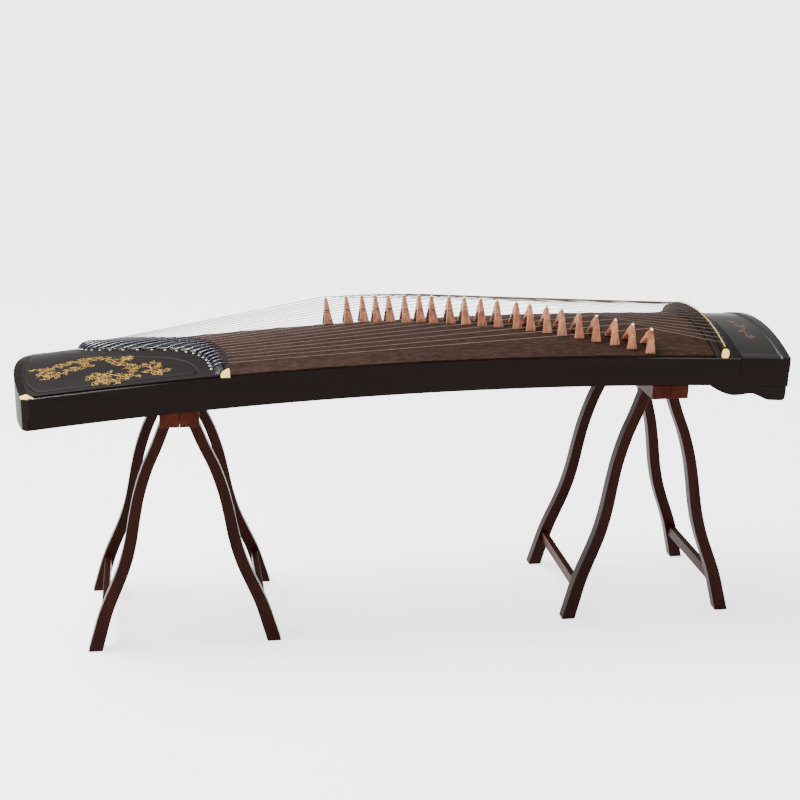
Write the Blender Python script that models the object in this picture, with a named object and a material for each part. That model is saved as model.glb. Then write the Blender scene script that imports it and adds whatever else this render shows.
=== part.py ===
"""A 21-string guzheng, 1.64 m long, standing on two folding wooden trestles.

Frame: metres, +Z up, +X along the strings towards the head (the end with the tuning pins),
-Y on the player's side. The origin is on the floor under the middle of the instrument.
"""

import math

import bmesh
import bpy
from mathutils import Matrix, Vector

GAP = 0.0003

# Body: a box that widens towards the head, curved along its length and across its width
LENGTH = 1.637
TAIL_X = -LENGTH / 2
HEAD_X = LENGTH / 2
TAIL_WIDTH = 0.325
HEAD_WIDTH = 0.372
CAMBER_RADIUS = 9.85
APEX_X = 0.3175
APEX_Z = 0.5633
SIDE_HEIGHT = 0.0632
SIDE_TAPER = 0.0039
RISE_TAIL = 0.0241
RISE_HEAD = 0.0392
SIDE_THICKNESS = 0.009
BOARD_THICKNESS = 0.008
BOTTOM_THICKNESS = 0.006
SOUND_SLOT_TAIL, SOUND_SLOT_HEAD = 0.055, 0.050
DECK_SPACING = 1.6              # above 1, the tail board's mesh is finer towards the tail
DECK_WIDENING = 0.012           # length over which the tail board widens past the tail block's corners
TAIL_BULGE = 0.0267
TAIL_WALL = 0.014
BLOCK_END = TAIL_X + TAIL_BULGE + TAIL_WALL
CORNER_CHAMFER = 0.0105

# Head: front nut, string slot, tuning box and its lid
NUT_START = 0.649
NUT_CREST = 0.668
NUT_HEIGHT = 0.0235
SLOT_START = 0.6715
SLOT_END = 0.675
SLOT_HALF = 0.1735
LID_START = 0.7075
BODY_END = HEAD_X - 0.001
LID_SEAM_Z = 0.583
LID_THICKNESS = 0.006
RIM_START = 0.7985
RIM_HEIGHT = 0.003
BOX_START = 0.6485
BOX_WALL = 0.010
PIN_BLOCK_THICKNESS = 0.020
NUT_PROFILE = ((NUT_START, 0.004), (0.6525, 0.0070), (0.6595, 0.0090), (0.6625, 0.0185),
               (NUT_CREST, NUT_HEIGHT), (0.6712, 0.0222), (0.677, 0.0145), (0.690, 0.009),
               (LID_START - GAP, 0.003))
FOOT_THICKNESS = 0.014
FOOT_PROFILE = ((0.6455, 0.5545), (0.664, 0.544), (0.6885, 0.535), (0.712, 0.5345), (0.7355, 0.537),
                (0.755, 0.530), (0.7725, 0.522), (0.790, 0.520), (0.8100, 0.520), (0.8145, 0.530))

# Strings, bridges and tuning pins; string 1 is the farthest from the player
STRINGS = 21
STRING_RADIUS = 0.0006
HOLE_RADIUS = 0.0016
HOLE_MIDDLE_Y = -0.002
HOLE_BEND_X, HOLE_BEND_Y = -0.567, 0.012
HOLE_REACH = 0.130
FRONT_REACH = 0.168
REAR_NUT_HEIGHT = 0.0095
BRIDGE_X = (-0.146, -0.102, -0.069, -0.041, -0.014, 0.019, 0.049, 0.074, 0.110, 0.141, 0.174,
            0.207, 0.246, 0.272, 0.305, 0.334, 0.368, 0.401, 0.438, 0.471, 0.507)
BRIDGE_HEIGHT = 0.060
BRIDGE_DROP = 0.011
BRIDGE_DEPTH = 0.0215
BRIDGE_TOP_DEPTH = 0.0045
BRIDGE_FLAT = 0.0006
BRIDGE_HALF = ((0.0, 0.060), (0.0022, 0.0595), (0.0040, 0.056), (0.0115, 0.042), (0.0170, 0.0315),
               (0.0148, 0.0295), (0.0225, 0.007), (0.0235, 0.0), (0.0165, 0.0), (0.0130, 0.010),
               (0.0095, 0.020), (0.0055, 0.0275), (0.0, 0.031))
PIN_ROWS = (0.7385, 0.7605, 0.7825)
PIN_SPREAD = 0.158
PIN_RADIUS = 0.003
PIN_SHAFT = 0.0325
PIN_HEAD = 0.009
PIN_BURIED = 0.012

# Trestles
RAIL_WIDTH = 0.0403
RAIL_BEVEL = 0.005
LEG_DEPTH = 0.0275
LEG_SPREAD_Y = 0.323
LEG_LEAN = 0.050
LEG_PATH = ((0.0, 1.0), (0.07, 0.945), (0.18, 0.852), (0.34, 0.668), (0.45, 0.578), (0.58, 0.510),
            (0.67, 0.455), (0.77, 0.366), (0.87, 0.245), (1.0, 0.107))
LEG_WIDTH_FOOT = 0.030
LEG_WIDTH_TOP = 0.024
STRETCHER_Z = 0.075
STRETCHER_HEIGHT = 0.026
STRETCHER_THICKNESS = 0.014
HINGE_LENGTH = 0.200
HINGE_RADIUS = 0.003
HINGE_DROP = 0.0035
LEAF_WIDTH = 0.020
TRESTLES = {
    "left_trestle": {"x": -0.484, "y": 0.0, "rail_bottom": 0.497, "rail_half": 0.160, "foot": 0.190},
    "right_trestle": {"x": 0.5535, "y": 0.016, "rail_bottom": 0.530, "rail_half": 0.183, "foot": 0.182},
}


def lerp(a, b, t):
    return a + (b - a) * t


def along(x):
    """0 at the tail, 1 at the head."""
    return (x - TAIL_X) / LENGTH


def underside(x):
    return APEX_Z - (x - APEX_X) ** 2 / (2 * CAMBER_RADIUS)


def edge_top(x):
    return underside(x) + SIDE_HEIGHT - SIDE_TAPER * x


def half_width(x):
    return lerp(TAIL_WIDTH, HEAD_WIDTH, along(x)) / 2


def inner_half(x):
    return half_width(x) - SIDE_THICKNESS - GAP


def arch_radius(x):
    rise = lerp(RISE_TAIL, RISE_HEAD, along(x))
    return (half_width(x) ** 2 + rise ** 2) / (2 * rise)


def surface(x, y):
    """Height of the arched top of the body."""
    radius = arch_radius(x)
    rise = lerp(RISE_TAIL, RISE_HEAD, along(x))
    return edge_top(x) + rise - radius + math.sqrt(max(radius ** 2 - y ** 2, 0.0))


def rear_nut_x(y):
    return -0.5465 - 0.155 * math.tanh((y - 0.062) / 0.095)


def hole_line_x(y):
    reach, spread = (0.155, 0.066) if y < HOLE_BEND_Y else (0.130, 0.0553)
    return HOLE_BEND_X - reach * math.tanh((y - HOLE_BEND_Y) / spread)


def tail_end_x(y, chamfer=2.2):
    corner = max(0.0, abs(y) - TAIL_WIDTH / 2 + CORNER_CHAMFER)
    return TAIL_X + TAIL_BULGE * (2 * y / TAIL_WIDTH) ** 2 + chamfer * corner


def make_material(name, colour, roughness, metallic=0.0):
    material = bpy.data.materials.new(name)
    material.use_nodes = True
    shader = material.node_tree.nodes["Principled BSDF"]
    shader.inputs["Base Color"].default_value = (*colour, 1.0)
    shader.inputs["Roughness"].default_value = roughness
    shader.inputs["Metallic"].default_value = metallic
    return material


def make_object(name, mesh, material, collection):
    obj = bpy.data.objects.new(name, mesh)
    collection.objects.link(obj)
    if material:
        mesh.materials.append(material)
    return obj


def board_mesh(name, columns, rows, upper, lower):
    """A closed board: a unit grid whose two faces follow functions of u and v."""
    bm = bmesh.new()
    bmesh.ops.create_grid(bm, x_segments=columns, y_segments=rows, size=0.5)
    first = list(bm.verts)
    bmesh.ops.extrude_face_region(bm, geom=bm.faces[:])
    for vert in bm.verts:
        u, v = vert.co.x + 0.5, vert.co.y + 0.5
        vert.co = lower(u, v) if vert in first else upper(u, v)
    bmesh.ops.recalc_face_normals(bm, faces=bm.faces[:])
    mesh = bpy.data.meshes.new(name)
    bm.to_mesh(mesh)
    bm.free()
    return mesh


class Workshop:
    """Keeps the collections and materials, and makes objects in them."""

    def __init__(self):
        for obj in list(bpy.data.objects):
            bpy.data.objects.remove(obj)
        self.parts = bpy.data.collections.new("guzheng")
        self.cutters = bpy.data.collections.new("cutters")
        for collection in (self.parts, self.cutters):
            bpy.context.scene.collection.children.link(collection)
        self.lacquer = make_material("black_lacquer", (0.012, 0.006, 0.005), 0.25)
        self.board_wood = make_material("soundboard_wood", (0.075, 0.042, 0.032), 0.5)
        self.trestle_wood = make_material("trestle_wood", (0.085, 0.022, 0.014), 0.35)
        self.bridge_wood = make_material("bridge_wood", (0.42, 0.17, 0.09), 0.45)
        self.pale_wood = make_material("pale_wood", (0.55, 0.38, 0.22), 0.6)
        self.steel = make_material("steel", (0.62, 0.62, 0.64), 0.3, 1.0)
        self.brass = make_material("brass", (0.65, 0.45, 0.18), 0.35, 1.0)

    def board(self, name, columns, rows, upper, lower, material=None):
        mesh = board_mesh(name, columns, rows, upper, lower)
        return make_object(name, mesh, material, self.parts if material else self.cutters)

    def block(self, name, low, high, material=None):
        """A box between two corners."""
        bm = bmesh.new()
        bmesh.ops.create_cube(bm, size=1.0)
        low, high = Vector(low), Vector(high)
        bmesh.ops.scale(bm, vec=high - low, verts=bm.verts)
        bmesh.ops.translate(bm, vec=(low + high) / 2, verts=bm.verts)
        mesh = bpy.data.meshes.new(name)
        bm.to_mesh(mesh)
        bm.free()
        return make_object(name, mesh, material, self.parts if material else self.cutters)

    def rod(self, name, start, end, radius, sides=12, material=None, spin=0.0):
        """A cylinder between two points."""
        start, end = Vector(start), Vector(end)
        turn = (end - start).to_track_quat("Z", "Y").to_matrix().to_4x4()
        bm = bmesh.new()
        bmesh.ops.create_cone(bm, cap_ends=True, segments=sides, radius1=radius, radius2=radius,
                              depth=(end - start).length)
        place = Matrix.Translation((start + end) / 2) @ turn @ Matrix.Rotation(spin, 4, "Z")
        bmesh.ops.transform(bm, verts=bm.verts, matrix=place)
        mesh = bpy.data.meshes.new(name)
        bm.to_mesh(mesh)
        bm.free()
        return make_object(name, mesh, material, self.parts if material else self.cutters)

    def combine(self, target, tool, operation):
        """Adds the tool to the target, or cuts it away."""
        tool.hide_render = True
        tool.display_type = "WIRE"
        modifier = target.modifiers.new(tool.name, "BOOLEAN")
        modifier.operation = operation
        modifier.object = tool

    def join(self, target, tool):
        self.combine(target, tool, "UNION")

    def cut(self, target, tool):
        self.combine(target, tool, "DIFFERENCE")


def spread(u, points):
    """The station of a grid line: u runs evenly over the points."""
    return points[round(u * (len(points) - 1))]


def seam_x(v):
    """Where the tail board meets the soundboard, under the rear nut."""
    return rear_nut_x((2 * v - 1) * 0.16)


def make_soundboard(shop):
    def place(u, v, drop):
        x = lerp(seam_x(v) + GAP, 0.660, u)
        y = (2 * v - 1) * inner_half(x)
        return Vector((x, y, surface(x, y) - drop))

    board = shop.board("soundboard", 22, 12, lambda u, v: place(u, v, 0.0),
                       lambda u, v: place(u, v, BOARD_THICKNESS), shop.board_wood)
    rib_width = 0.012
    for number, rib_x in enumerate((-0.28, 0.05, 0.36)):
        def rib(u, v, drop, rib_x=rib_x):
            x = rib_x + rib_width * (u - 0.5)
            y = (2 * v - 1) * 0.145
            return Vector((x, y, surface(x, y) - drop))

        shop.join(board, shop.board(f"rib_{number}", 1, 10, lambda u, v, f=rib: f(u, v, 0.004),
                                    lambda u, v, f=rib: f(u, v, 0.026)))

    def bar(u, v, drop):
        x = lerp(-0.36, 0.56, u)
        y = (2 * v - 1) * 0.006
        return Vector((x, y, surface(x, 0.0) - drop))

    shop.join(board, shop.board("bass_bar", 14, 1, lambda u, v: bar(u, v, 0.005),
                                lambda u, v: bar(u, v, 0.020)))


def make_side_panels(shop):
    start = BLOCK_END + GAP + 0.001
    for name, side in (("near_side_panel", -1), ("far_side_panel", 1)):
        def place(u, v, inset, side=side):
            x = lerp(start, BODY_END, u)
            return Vector((x, side * (half_width(x) - inset), lerp(underside(x), edge_top(x), v)))

        panel = shop.board(name, 22, 1, lambda u, v, f=place: f(u, v, 0.0),
                           lambda u, v, f=place: f(u, v, SIDE_THICKNESS), shop.lacquer)
        middle = side * HEAD_WIDTH / 2
        shop.cut(panel, shop.block(f"{name}_lid_step", (LID_START - GAP, middle - 0.03, LID_SEAM_Z),
                                   (HEAD_X + 0.01, middle + 0.03, 0.70)))


def make_bottom_board(shop):
    """It stops short of the tail block and of the head box, which leaves the two sound slots."""
    start = BLOCK_END + SOUND_SLOT_TAIL
    end = BOX_START - SOUND_SLOT_HEAD

    def place(u, v, lift):
        x = lerp(start, end, u)
        return Vector((x, (2 * v - 1) * inner_half(x), underside(x) + lift))

    shop.board("bottom_board", 20, 1, lambda u, v: place(u, v, BOTTOM_THICKNESS),
               lambda u, v: place(u, v, 0.0), shop.lacquer)


def make_tail(shop):
    rows = 32

    def wall(u, v, top):
        y = (2 * v - 1) * TAIL_WIDTH / 2
        outer = tail_end_x(y, 2.2 if top else 0.6)
        inner = BLOCK_END
        x = lerp(outer, inner, u)
        return Vector((x, y, surface(x, y) if top else underside(x)))

    def shelf(u, v, top):
        """The wall's inner side is hollowed to follow the curved end."""
        y = (2 * v - 1) * (TAIL_WIDTH / 2 - 0.012)
        x = lerp(tail_end_x(y, 0.0) + TAIL_WALL, HEAD_X, u)
        return Vector((x, y, 0.80 if top else 0.30))

    block = shop.board("tail_block", 1, rows, lambda u, v: wall(u, v, True),
                       lambda u, v: wall(u, v, False), shop.lacquer)
    shop.cut(block, shop.board("tail_block_hollow", 1, 16, lambda u, v: shelf(u, v, True),
                               lambda u, v: shelf(u, v, False)))

    def deck(u, v, drop):
        """Between the block's corners the board is narrower; past them it widens to the side panels."""
        reach = TAIL_WIDTH / 2 - 0.0135
        start = tail_end_x((2 * v - 1) * reach, 0.0) + TAIL_WALL + 0.0007
        x = lerp(start, seam_x(v) - GAP, u ** DECK_SPACING)
        widening = (x - BLOCK_END) / DECK_WIDENING
        y = (2 * v - 1) * lerp(reach, inner_half(x), min(1.0, max(0.0, widening)))
        return Vector((x, y, surface(x, y) - drop))

    deck_board = shop.board("tail_board", 10, 12, lambda u, v: deck(u, v, 0.0),
                            lambda u, v: deck(u, v, BOARD_THICKNESS), shop.lacquer)
    for string in range(STRINGS):
        x, y = hole_place(string)
        shop.cut(deck_board, shop.rod(f"string_hole_{string + 1:02d}", (x, y, 0.45), (x, y, 0.75),
                                      HOLE_RADIUS, 8))


def make_rear_nut(shop):
    across = (-0.0048, -0.0030, 0.0, 0.0030, 0.0048)
    height = (0.0015, 0.0050, REAR_NUT_HEIGHT, 0.0080, 0.003)

    def place(u, v, top):
        y0 = (2 * v - 1) * 0.16
        slope = (rear_nut_x(y0 + 0.001) - rear_nut_x(y0 - 0.001)) / 0.002
        x = rear_nut_x(y0) + spread(u, across) * math.hypot(1.0, slope)
        y = (2 * v - 1) * (half_width(rear_nut_x(y0)) - 0.001)
        return Vector((x, y, surface(x, y) + (spread(u, height) if top else GAP)))

    shop.board("rear_nut", 4, 30, lambda u, v: place(u, v, True), lambda u, v: place(u, v, False),
               shop.lacquer)


def make_front_nut(shop):
    def place(u, v, top):
        x, height = spread(u, NUT_PROFILE)
        y = (2 * v - 1) * half_width(x)
        return Vector((x, y, surface(x, y) + (height if top else GAP)))

    nut = shop.board("front_nut", len(NUT_PROFILE) - 1, 16, lambda u, v: place(u, v, True),
                     lambda u, v: place(u, v, False), shop.lacquer)
    shop.cut(nut, shop.block("string_slot", (SLOT_START, -SLOT_HALF, 0.55), (SLOT_END, SLOT_HALF, 0.75)))


def make_head_box(shop):
    def floor(u, v, lift):
        x = lerp(BOX_START, BODY_END, u)
        return Vector((x, (2 * v - 1) * inner_half(x), underside(x) + lift))

    box = shop.board("head_box", 4, 1, lambda u, v: floor(u, v, PIN_BLOCK_THICKNESS),
                     lambda u, v: floor(u, v, 0.0), shop.pale_wood)

    def front_wall(u, v, top):
        x = BOX_START + BOX_WALL * u
        y = (2 * v - 1) * (inner_half(BOX_START) - 0.0004)
        return Vector((x, y, surface(x, y) - BOARD_THICKNESS - 0.0006 if top else underside(x) + 0.01))

    def end_wall(u, v, top):
        x = BODY_END - BOX_WALL * (1 - u)
        y = (2 * v - 1) * (inner_half(BODY_END) - 0.0004)
        return Vector((x, y, LID_SEAM_Z if top else underside(x) + 0.01))

    shop.join(box, shop.board("box_front_wall", 1, 12, lambda u, v: front_wall(u, v, True),
                              lambda u, v: front_wall(u, v, False)))
    shop.join(box, shop.board("box_end_wall", 1, 1, lambda u, v: end_wall(u, v, True),
                              lambda u, v: end_wall(u, v, False)))
    for string in range(STRINGS):
        x, y = pin_place(string)
        shop.cut(box, shop.rod(f"pin_hole_{string + 1:02d}", (x, y, pin_base(x) - PIN_BURIED - 0.001),
                               (x, y, 0.60), PIN_RADIUS + GAP, 12))


def make_lid(shop):
    stations = (LID_START + GAP, 0.74, 0.77, RIM_START, RIM_START + 0.0006, HEAD_X)
    lifts = (0.0, 0.0, 0.0, 0.0, RIM_HEIGHT, RIM_HEIGHT)

    def shell(u, v, top):
        x = spread(u, stations)
        y = (2 * v - 1) * half_width(x)
        return Vector((x, y, surface(x, y) + spread(u, lifts) if top else LID_SEAM_Z + GAP))

    def hollow(u, v, top):
        x = lerp(LID_START - 0.01, HEAD_X - 0.008, u)
        y = (2 * v - 1) * (half_width(x) - 0.008)
        return Vector((x, y, surface(x, y) - LID_THICKNESS if top else LID_SEAM_Z - 0.02))

    lid = shop.board("tuning_lid", 5, 16, lambda u, v: shell(u, v, True),
                     lambda u, v: shell(u, v, False), shop.lacquer)
    shop.cut(lid, shop.board("lid_hollow", 3, 14, lambda u, v: hollow(u, v, True),
                             lambda u, v: hollow(u, v, False)))


def make_head_foot(shop):
    def place(u, v, top):
        x, z = spread(u, FOOT_PROFILE)
        return Vector((x, (2 * v - 1) * half_width(x), underside(x) - GAP if top else z))

    foot = shop.board("head_foot", len(FOOT_PROFILE) - 1, 1, lambda u, v: place(u, v, True),
                      lambda u, v: place(u, v, False), shop.lacquer)
    reach = HEAD_WIDTH / 2 - FOOT_THICKNESS
    shop.cut(foot, shop.block("foot_hollow", (BOX_START - 0.05, -reach, 0.45),
                              (FOOT_PROFILE[-1][0] - FOOT_THICKNESS, reach, 0.65)))


def fan(string):
    """1 for the farthest string, -1 for the nearest."""
    return 1 - 2 * string / (STRINGS - 1)


def hole_place(string):
    y = HOLE_MIDDLE_Y + HOLE_REACH * fan(string)
    return hole_line_x(y), y


def lane_y(string, x):
    """Where a string passes in plan: a straight line from its hole to the front nut."""
    hole_x, hole_y = hole_place(string)
    return lerp(hole_y, FRONT_REACH * fan(string), (x - hole_x) / (NUT_CREST - hole_x))


def pin_place(string):
    return PIN_ROWS[string % len(PIN_ROWS)], PIN_SPREAD * fan(string)


def pin_base(x):
    return underside(x) + PIN_BLOCK_THICKNESS


def bridge_height(string):
    return BRIDGE_HEIGHT - BRIDGE_DROP * (string / (STRINGS - 1)) ** 2


def bridge_frame(string):
    """Foot point, height and tilt: a bridge stands square to the arched board under its string."""
    x = BRIDGE_X[string]
    height = bridge_height(string)
    radius = arch_radius(x)
    foot_y = lane_y(string, x) * radius / (radius + height)
    slope = math.asin(foot_y / radius)
    pitch = math.atan((surface(x + 0.01, foot_y) - surface(x - 0.01, foot_y)) / 0.02)
    return Vector((x, foot_y, surface(x, foot_y))), height, slope, pitch


def bridge_matrix(string):
    foot, _, slope, pitch = bridge_frame(string)
    return Matrix.Translation(foot) @ Matrix.Rotation(-pitch, 4, "Y") @ Matrix.Rotation(-slope, 4, "X")


def bridge_tip(string):
    return bridge_matrix(string) @ Vector((0, 0, bridge_height(string) + BRIDGE_FLAT))


def make_bridges(shop):
    outline = [(y, z) for y, z in BRIDGE_HALF]
    outline += [(-y, z) for y, z in reversed(BRIDGE_HALF[1:-1])]
    for string in range(STRINGS):
        _, height, _, _ = bridge_frame(string)
        scale = height / BRIDGE_HEIGHT
        bm = bmesh.new()
        face = bm.faces.new([bm.verts.new((-0.5, y, z)) for y, z in outline])
        made = bmesh.ops.extrude_face_region(bm, geom=[face])["geom"]
        bmesh.ops.translate(bm, vec=(1, 0, 0), verts=[v for v in made if isinstance(v, bmesh.types.BMVert)])
        bmesh.ops.recalc_face_normals(bm, faces=bm.faces[:])
        foot_radius = arch_radius(BRIDGE_X[string])
        for vert in bm.verts:
            depth = lerp(BRIDGE_DEPTH, BRIDGE_TOP_DEPTH, vert.co.z / BRIDGE_HEIGHT)
            sag = vert.co.y ** 2 / (2 * foot_radius) * (1 - vert.co.z / BRIDGE_HEIGHT)
            vert.co = (vert.co.x * depth, vert.co.y, vert.co.z * scale - sag + BRIDGE_FLAT)
        mesh = bpy.data.meshes.new(f"bridge_{string + 1:02d}")
        bm.to_mesh(mesh)
        bm.free()
        bridge = make_object(mesh.name, mesh, shop.bridge_wood, shop.parts)
        bridge.matrix_world = bridge_matrix(string)


def make_tuning_pins(shop):
    for string in range(STRINGS):
        x, y = pin_place(string)
        low = pin_base(x) - PIN_BURIED
        shaft_top = low + PIN_SHAFT
        name = f"tuning_pin_{string + 1:02d}"
        pin = shop.rod(name, (x, y, low), (x, y, shaft_top), PIN_RADIUS, 12, shop.steel)
        shop.join(pin, shop.rod(f"{name}_head", (x, y, shaft_top - 0.001), (x, y, shaft_top + PIN_HEAD),
                                PIN_RADIUS * 1.25, 4, spin=math.pi / 4))


def string_points(string):
    """From the hole in the tail over the nuts and the bridge to the tuning pin."""
    hole_x, hole_y = hole_place(string)
    nut_x = rear_nut_x(hole_y)
    for _ in range(6):
        nut_y = lane_y(string, nut_x)
        nut_x = rear_nut_x(nut_y)
    lift = STRING_RADIUS + GAP
    front_y = FRONT_REACH * fan(string)
    pin_x, pin_y = pin_place(string)
    slot_x = (SLOT_START + SLOT_END) / 2
    tip = bridge_tip(string)
    return [
        Vector((hole_x, hole_y, surface(hole_x, hole_y) - 0.004)),
        Vector((hole_x + 0.0004, hole_y, surface(hole_x, hole_y) + 0.002)),
        Vector((nut_x, nut_y, surface(nut_x, nut_y) + REAR_NUT_HEIGHT + 3 * lift)),
        Vector((tip.x, tip.y, tip.z + lift)),
        Vector((NUT_CREST, front_y, surface(NUT_CREST, front_y) + NUT_HEIGHT + lift)),
        Vector((slot_x, front_y, surface(slot_x, front_y) + NUT_HEIGHT - 0.001)),
        Vector((slot_x, front_y, surface(slot_x, front_y) - 0.012)),
        Vector((pin_x - PIN_RADIUS - 0.0012, pin_y, pin_base(pin_x) + 0.012)),
    ]


def tube_mesh(name, points, radius, sides=6):
    curve = bpy.data.curves.new(name, "CURVE")
    curve.dimensions = "3D"
    curve.bevel_depth = radius
    curve.bevel_resolution = sides // 2 - 2
    curve.use_fill_caps = True
    spline = curve.splines.new("POLY")
    spline.points.add(len(points) - 1)
    for point, place in zip(spline.points, points):
        point.co = (*place, 1.0)
    obj = bpy.data.objects.new(name, curve)
    bpy.context.scene.collection.objects.link(obj)
    mesh = bpy.data.meshes.new_from_object(obj.evaluated_get(bpy.context.evaluated_depsgraph_get()))
    bpy.data.objects.remove(obj)
    bm = bmesh.new()
    bm.from_mesh(mesh)
    bmesh.ops.remove_doubles(bm, verts=bm.verts, dist=0.00001)
    bmesh.ops.recalc_face_normals(bm, faces=bm.faces[:])
    bm.to_mesh(mesh)
    bm.free()
    return mesh


def make_strings(shop):
    """The strings are one node, held together by the guide strip that they pass inside the box."""
    guide_x = 0.690

    def guide(u, v, top):
        y = (2 * v - 1) * (FRONT_REACH + 0.003)
        slot_x = (SLOT_START + SLOT_END) / 2
        high = surface(slot_x, y) - 0.012
        low = pin_base(PIN_ROWS[0]) + 0.012
        height = lerp(high, low, (guide_x - slot_x) / (PIN_ROWS[1] - slot_x))
        return Vector((guide_x + 0.004 * (u - 0.5), y, height + (0.0035 if top else -0.0035)))

    strings = shop.board("string_set", 1, 20, lambda u, v: guide(u, v, True),
                         lambda u, v: guide(u, v, False), shop.steel)
    for string in range(STRINGS):
        name = f"string_{string + 1:02d}"
        tube = make_object(name, tube_mesh(name, string_points(string), STRING_RADIUS), None, shop.cutters)
        shop.join(strings, tube)


def leg_outline(top_z, foot_offset):
    """Both edges of a wavy leg, as offsets from the trestle's middle plane."""
    steps = 4
    centre = []
    for index in range(len(LEG_PATH) - 1):
        before = LEG_PATH[max(index - 1, 0)]
        a, b = LEG_PATH[index], LEG_PATH[index + 1]
        after = LEG_PATH[min(index + 2, len(LEG_PATH) - 1)]
        for step in range(steps):
            t = step / steps
            point = [0.5 * (2 * q + (r - p) * t + (2 * p - 5 * q + 4 * r - s) * t ** 2
                            + (3 * q - p - 3 * r + s) * t ** 3)
                     for p, q, r, s in zip(before, a, b, after)]
            centre.append(point)
    centre.append(list(LEG_PATH[-1]))
    outer, inner = [], []
    for height, share in centre[::2]:
        half = lerp(LEG_WIDTH_FOOT, LEG_WIDTH_TOP, min(1.0, height * 1.6)) / 2
        outer.append((share * foot_offset + half, height * top_z))
        inner.append((share * foot_offset - half, height * top_z))
    return outer + inner[::-1]


def make_leg(shop, name, side, spec, front):
    """A leg cut from a flat board, leaning towards the trestle's middle as it rises."""
    top_z = spec["rail_bottom"] + 0.022
    bm = bmesh.new()
    face = bm.faces.new([bm.verts.new((side * x, 0.0, z)) for x, z in leg_outline(top_z, spec["foot"])])
    made = bmesh.ops.extrude_face_region(bm, geom=[face])["geom"]
    back = [item for item in made if isinstance(item, bmesh.types.BMVert)]
    bmesh.ops.translate(bm, vec=(0, LEG_DEPTH, 0), verts=back)
    bmesh.ops.recalc_face_normals(bm, faces=bm.faces[:])
    start = spec["y"] - LEG_SPREAD_Y / 2 if front else spec["y"] + LEG_SPREAD_Y / 2 - LEG_DEPTH
    lean = LEG_LEAN if front else -LEG_LEAN
    for vert in bm.verts:
        vert.co.x += spec["x"]
        vert.co.y += start + lean * vert.co.z
    mesh = bpy.data.meshes.new(name)
    bm.to_mesh(mesh)
    bm.free()
    return make_object(name, mesh, None, shop.cutters)


def leg_offset(spec, z):
    """The leg's centre line at a height, for the stretcher."""
    top_z = spec["rail_bottom"] + 0.022
    share = z / top_z
    for (h0, s0), (h1, s1) in zip(LEG_PATH, LEG_PATH[1:]):
        if h0 <= share <= h1:
            return lerp(s0, s1, (share - h0) / (h1 - h0)) * spec["foot"]
    return 0.0


def make_trestle(shop, title, spec):
    for label, side in (("left", -1), ("right", 1)):
        name = f"{title}_{label}_frame"
        half = spec["rail_half"]

        def rail(u, v, top, side=side):
            x = spec["x"] + side * spread(u, (GAP / 2, RAIL_WIDTH - RAIL_BEVEL, RAIL_WIDTH))
            cut = RAIL_BEVEL if u > 0.9 else 0.0
            return Vector((x, lerp(-half, half, v), underside(x) - GAP if top else spec["rail_bottom"] + cut))

        frame = shop.board(name, 2, 1, lambda u, v, f=rail: f(u, v, True),
                           lambda u, v, f=rail: f(u, v, False), shop.trestle_wood)
        for place, front in (("near", True), ("far", False)):
            shop.join(frame, make_leg(shop, f"{name}_{place}_leg", side, spec, front))
        middle = spec["x"] + side * leg_offset(spec, STRETCHER_Z)
        reach = LEG_SPREAD_Y / 2 - LEG_DEPTH * 0.6
        shop.join(frame, shop.block(
            f"{name}_stretcher",
            (middle - STRETCHER_THICKNESS / 2, spec["y"] - reach, STRETCHER_Z - STRETCHER_HEIGHT / 2),
            (middle + STRETCHER_THICKNESS / 2, spec["y"] + reach, STRETCHER_Z + STRETCHER_HEIGHT / 2)))
    centre_z = spec["rail_bottom"] - HINGE_DROP
    low, high = spec["y"] - HINGE_LENGTH / 2, spec["y"] + HINGE_LENGTH / 2
    hinge = shop.rod(f"{title}_hinge", (spec["x"], low, centre_z), (spec["x"], high, centre_z),
                     HINGE_RADIUS, 12, shop.brass)
    shop.join(hinge, shop.block(f"{title}_leaf", (spec["x"] - LEAF_WIDTH, low, spec["rail_bottom"] - 0.0018),
                                (spec["x"] + 0.0005, high, spec["rail_bottom"] - GAP)))


def main():
    shop = Workshop()
    make_soundboard(shop)
    make_side_panels(shop)
    make_bottom_board(shop)
    make_tail(shop)
    make_rear_nut(shop)
    make_front_nut(shop)
    make_head_box(shop)
    make_lid(shop)
    make_head_foot(shop)
    make_bridges(shop)
    make_tuning_pins(shop)
    make_strings(shop)
    for title, spec in TRESTLES.items():
        make_trestle(shop, title, spec)


main()
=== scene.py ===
import math
import random

import bmesh
import bpy
from mathutils import Matrix, Vector
from mathutils.kdtree import KDTree


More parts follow.
